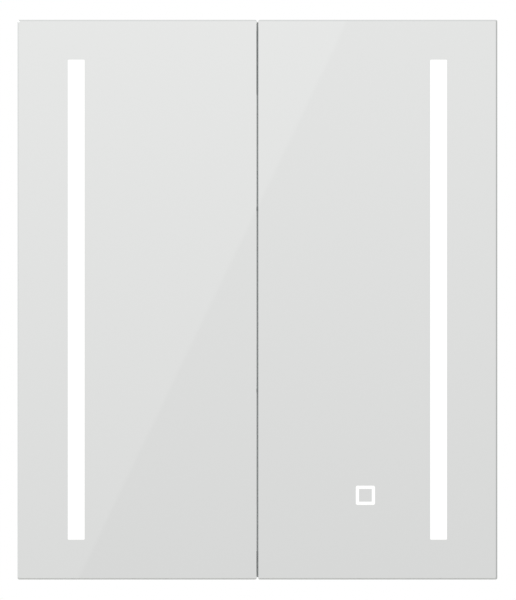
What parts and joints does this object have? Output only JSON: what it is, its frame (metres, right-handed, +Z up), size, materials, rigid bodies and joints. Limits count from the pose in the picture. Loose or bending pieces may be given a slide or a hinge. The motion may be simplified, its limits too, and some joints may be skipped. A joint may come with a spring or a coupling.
{
  "type": "mirrored medicine cabinet",
  "caption": "Wall-hung mirrored medicine cabinet: two doors on concealed hinges, lit vertical strips, a touch switch ring and glass shelves.",
  "frame": {"origin": "middle of the rear face, which lies on the wall", "axes": "+X right as seen from the front, +Y into the wall, so the doors face -Y, +Z up"},
  "size_m": [0.6, 0.13, 0.7],
  "materials": {
    "carcass": "white satin lacquer on fibreboard",
    "back_board": "white melamine-faced hardboard",
    "mirror_glass": "silvered float glass",
    "shelf_glass": "clear float glass, polished edges",
    "driver_plastic": "moulded",
    "gland_nylon": "moulded",
    "door_lacquer": "white satin lacquer on fibreboard",
    "channel_aluminium": "extruded",
    "led_tape": "white solder mask",
    "light_window": "opal",
    "touch_light": "opal",
    "sensor_plastic": "moulded",
    "pin_steel": "nickel plated",
    "bumper_rubber": "clear, soft",
    "hinge_steel": "nickel plated"
  },
  "bodies": {
    "cabinet": {"left_side_panel": "carcass", "right_side_panel": "carcass", "top_panel": "carcass", "bottom_panel": "carcass", "back_panel": "back_board", "back_mirror": "mirror_glass", "upper_shelf": "shelf_glass", "lower_shelf": "shelf_glass", "led_driver": "driver_plastic", "cable_gland": "gland_nylon", "left_upper_back_shelf_pin": "pin_steel", "left_upper_front_shelf_pin": "pin_steel", "left_upper_bumper": "bumper_rubber", "left_upper_hinge_plate": "hinge_steel", "left_upper_hinge_arm": "hinge_steel", "left_upper_arm_pin": "hinge_steel", "left_lower_back_shelf_pin": "pin_steel", "left_lower_front_shelf_pin": "pin_steel", "left_lower_bumper": "bumper_rubber", "left_lower_hinge_plate": "hinge_steel", "left_lower_hinge_arm": "hinge_steel", "left_lower_arm_pin": "hinge_steel", "right_upper_back_shelf_pin": "pin_steel", "right_upper_front_shelf_pin": "pin_steel", "right_upper_bumper": "bumper_rubber", "right_upper_hinge_plate": "hinge_steel", "right_upper_hinge_arm": "hinge_steel", "right_upper_arm_pin": "hinge_steel", "right_lower_back_shelf_pin": "pin_steel", "right_lower_front_shelf_pin": "pin_steel", "right_lower_bumper": "bumper_rubber", "right_lower_hinge_plate": "hinge_steel", "right_lower_hinge_arm": "hinge_steel", "right_lower_arm_pin": "hinge_steel"},
    "left_links": {"left_upper_hinge_link": "hinge_steel", "left_lower_hinge_link": "hinge_steel"},
    "left_door": {"left_mirror": "mirror_glass", "left_door_frame": "door_lacquer", "left_inner_mirror": "mirror_glass", "left_light_window": "light_window", "left_led_channel": "channel_aluminium", "left_led_strip": "led_tape", "left_upper_hinge_cup": "hinge_steel", "left_upper_cup_pin": "hinge_steel", "left_lower_hinge_cup": "hinge_steel", "left_lower_cup_pin": "hinge_steel"},
    "right_links": {"right_upper_hinge_link": "hinge_steel", "right_lower_hinge_link": "hinge_steel"},
    "right_door": {"right_mirror": "mirror_glass", "right_door_frame": "door_lacquer", "right_inner_mirror": "mirror_glass", "right_light_window": "light_window", "right_led_channel": "channel_aluminium", "right_led_strip": "led_tape", "right_upper_hinge_cup": "hinge_steel", "right_upper_cup_pin": "hinge_steel", "right_lower_hinge_cup": "hinge_steel", "right_lower_cup_pin": "hinge_steel", "touch_ring": "touch_light", "touch_module": "sensor_plastic"}
  },
  "joints": [
    {"name": "left_link_pivot", "type": "hinge", "parent": "cabinet", "child": "left_links", "pos_m": [-0.28, -0.118, 0], "axis": [0, 0, -1], "range_deg": [-47.5, 0]},
    {"name": "left_door_hinge", "type": "hinge", "parent": "left_links", "child": "left_door", "pos_m": [-0.29, -0.114, 0], "axis": [0, 0, -1], "range_deg": [0, 142.5]},
    {"name": "right_link_pivot", "type": "hinge", "parent": "cabinet", "child": "right_links", "pos_m": [0.28, -0.118, 0], "axis": [0, 0, 1], "range_deg": [-47.5, 0]},
    {"name": "right_door_hinge", "type": "hinge", "parent": "right_links", "child": "right_door", "pos_m": [0.29, -0.114, 0], "axis": [0, 0, 1], "range_deg": [0, 142.5]}
  ],
  "couplings": [
    {"joint": "left_link_pivot", "follows": "left_door_hinge", "ratio": -0.33333},
    {"joint": "right_link_pivot", "follows": "right_door_hinge", "ratio": -0.33333}
  ]
}
